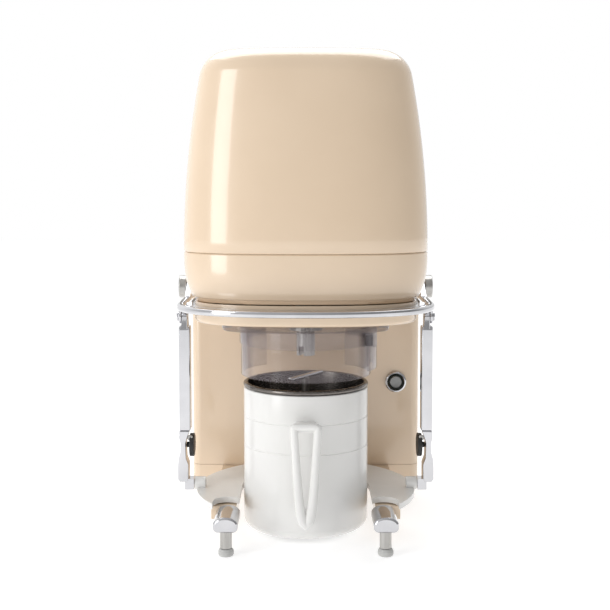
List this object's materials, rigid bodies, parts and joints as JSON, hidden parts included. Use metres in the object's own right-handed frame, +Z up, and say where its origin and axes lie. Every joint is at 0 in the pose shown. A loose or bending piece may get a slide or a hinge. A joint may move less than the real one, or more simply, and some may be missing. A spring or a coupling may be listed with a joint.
{
  "type": "ice cream maker",
  "caption": "Countertop ice cream maker: a U-shaped lever raises a tray with a handled mug so that a geared vertical drive turns the beater inside a clear guard.",
  "frame": {"origin": "on the surface that the feet stand on, under the middle of the outer box", "axes": "+Z up, -Y towards the user at the front, +X to the user's right when facing the machine"},
  "size_m": [0.29, 0.334, 0.512],
  "materials": {
    "cream_paint": "gloss stove enamel",
    "chrome": "polished chrome",
    "satin_steel": "satin",
    "mug_steel": "fine brushed",
    "motor_steel": "dull zinc",
    "brass": "machined",
    "white_plastic": "gloss",
    "clear_guard": "clear, smoky",
    "nylon": "natural",
    "black_plastic": "fine texture",
    "black_rubber": "matt",
    "grey_pad": "matt",
    "circuit_board": "solder mask"
  },
  "bodies": {
    "housing": {"head_cover": "cream_paint", "head_base": "cream_paint", "chin_plate": "cream_paint", "column_shell": "cream_paint", "rear_cover": "cream_paint", "base_frame": "cream_paint", "chin_trim": "chrome", "left_toe": "chrome", "right_toe": "chrome", "button_bezel": "chrome", "lift_rail": "satin_steel", "left_toe_post": "satin_steel", "right_toe_post": "satin_steel", "left_pivot_pin": "satin_steel", "right_pivot_pin": "satin_steel", "left_guard_rail": "satin_steel", "right_guard_rail": "satin_steel", "bearing_housing": "satin_steel", "lower_bearing": "satin_steel", "upper_bearing": "satin_steel", "chassis_plate": "satin_steel", "motor_can": "motor_steel", "power_inlet": "black_plastic", "left_rear_foot": "black_rubber", "right_rear_foot": "black_rubber", "shaft_seal": "black_rubber", "button_ring": "black_rubber", "left_front_pad": "grey_pad", "right_front_pad": "grey_pad", "control_board": "circuit_board"},
    "handle": {"handle_bar": "chrome", "left_link_pin": "chrome", "right_link_pin": "chrome"},
    "left_link": {"left_link_bar": "chrome", "left_link_foot": "chrome", "left_link_spacer": "black_plastic"},
    "right_link": {"right_link_bar": "chrome", "right_link_foot": "chrome", "right_link_spacer": "black_plastic"},
    "tray": {"tray_plate": "white_plastic", "mug_cradle": "satin_steel", "tray_carriage": "black_plastic", "left_tray_stud": "satin_steel", "right_tray_stud": "satin_steel"},
    "mug": {"mug_shell": "white_plastic", "mug_liner": "mug_steel", "mug_handle": "white_plastic"},
    "beater": {"beater_frame": "satin_steel", "beater_cross_bar": "chrome", "left_scraper": "nylon", "right_scraper": "nylon"},
    "guard": {"guard_shield": "clear_guard", "guard_magnet": "motor_steel"},
    "drive": {"drive_shaft": "satin_steel", "drive_dog": "satin_steel", "drive_gear": "brass"},
    "motor_rotor": {"motor_pinion": "satin_steel", "cooling_fan": "black_plastic"},
    "button": {"button_cap": "satin_steel"},
    "rocker": {"rocker_key": "black_plastic"}
  },
  "joints": [
    {"name": "handle_lift", "type": "hinge", "parent": "housing", "child": "handle", "pos_m": [0, 0.027, 0.255], "axis": [-1, 0, 0], "range_deg": [0, 18]},
    {"name": "left_link_turn", "type": "hinge", "parent": "handle", "child": "left_link", "pos_m": [-0.132, -0.063, 0.231], "axis": [-1, 0, 0], "range_deg": [-18.5, 0.5]},
    {"name": "right_link_turn", "type": "hinge", "parent": "handle", "child": "right_link", "pos_m": [0.132, -0.063, 0.231], "axis": [-1, 0, 0], "range_deg": [-18.5, 0.5]},
    {"name": "tray_lift", "type": "slide", "parent": "housing", "child": "tray", "axis": [0, 0, 1], "range_m": [-0.0002, 0.0292]},
    {"name": "mug_out", "type": "slide", "parent": "tray", "child": "mug", "axis": [0, -1, 0], "range_m": [0, 0.27]},
    {"name": "beater_spin", "type": "hinge", "parent": "mug", "child": "beater", "pos_m": [0, -0.063, 0.1], "axis": [0, 0, 1], "continuous": true},
    {"name": "drive_spin", "type": "hinge", "parent": "housing", "child": "drive", "pos_m": [0, -0.063, 0.3], "axis": [0, 0, 1], "continuous": true},
    {"name": "motor_spin", "type": "hinge", "parent": "housing", "child": "motor_rotor", "pos_m": [0, -0.003, 0.3], "axis": [0, 0, 1], "continuous": true},
    {"name": "guard_out", "type": "slide", "parent": "housing", "child": "guard", "axis": [0, -1, 0], "range_m": [0, 0.125]},
    {"name": "button_press", "type": "slide", "parent": "housing", "child": "button", "axis": [0, 1, 0], "range_m": [0, 0.003], "stiffness_N_per_m": 400, "springref_m": -0.002},
    {"name": "rocker_tilt", "type": "hinge", "parent": "housing", "child": "rocker", "pos_m": [0.026, 0.159, 0.075], "axis": [1, 0, 0], "range_deg": [0, 16]}
  ],
  "couplings": [
    {"joint": "tray_lift", "follows": "handle_lift", "m_per_rad": 0.09231},
    {"joint": "left_link_turn", "follows": "handle_lift", "ratio": -1},
    {"joint": "right_link_turn", "follows": "handle_lift", "ratio": -1},
    {"joint": "motor_spin", "follows": "drive_spin", "ratio": -3},
    {"joint": "beater_spin", "follows": "drive_spin", "ratio": 1}
  ]
}
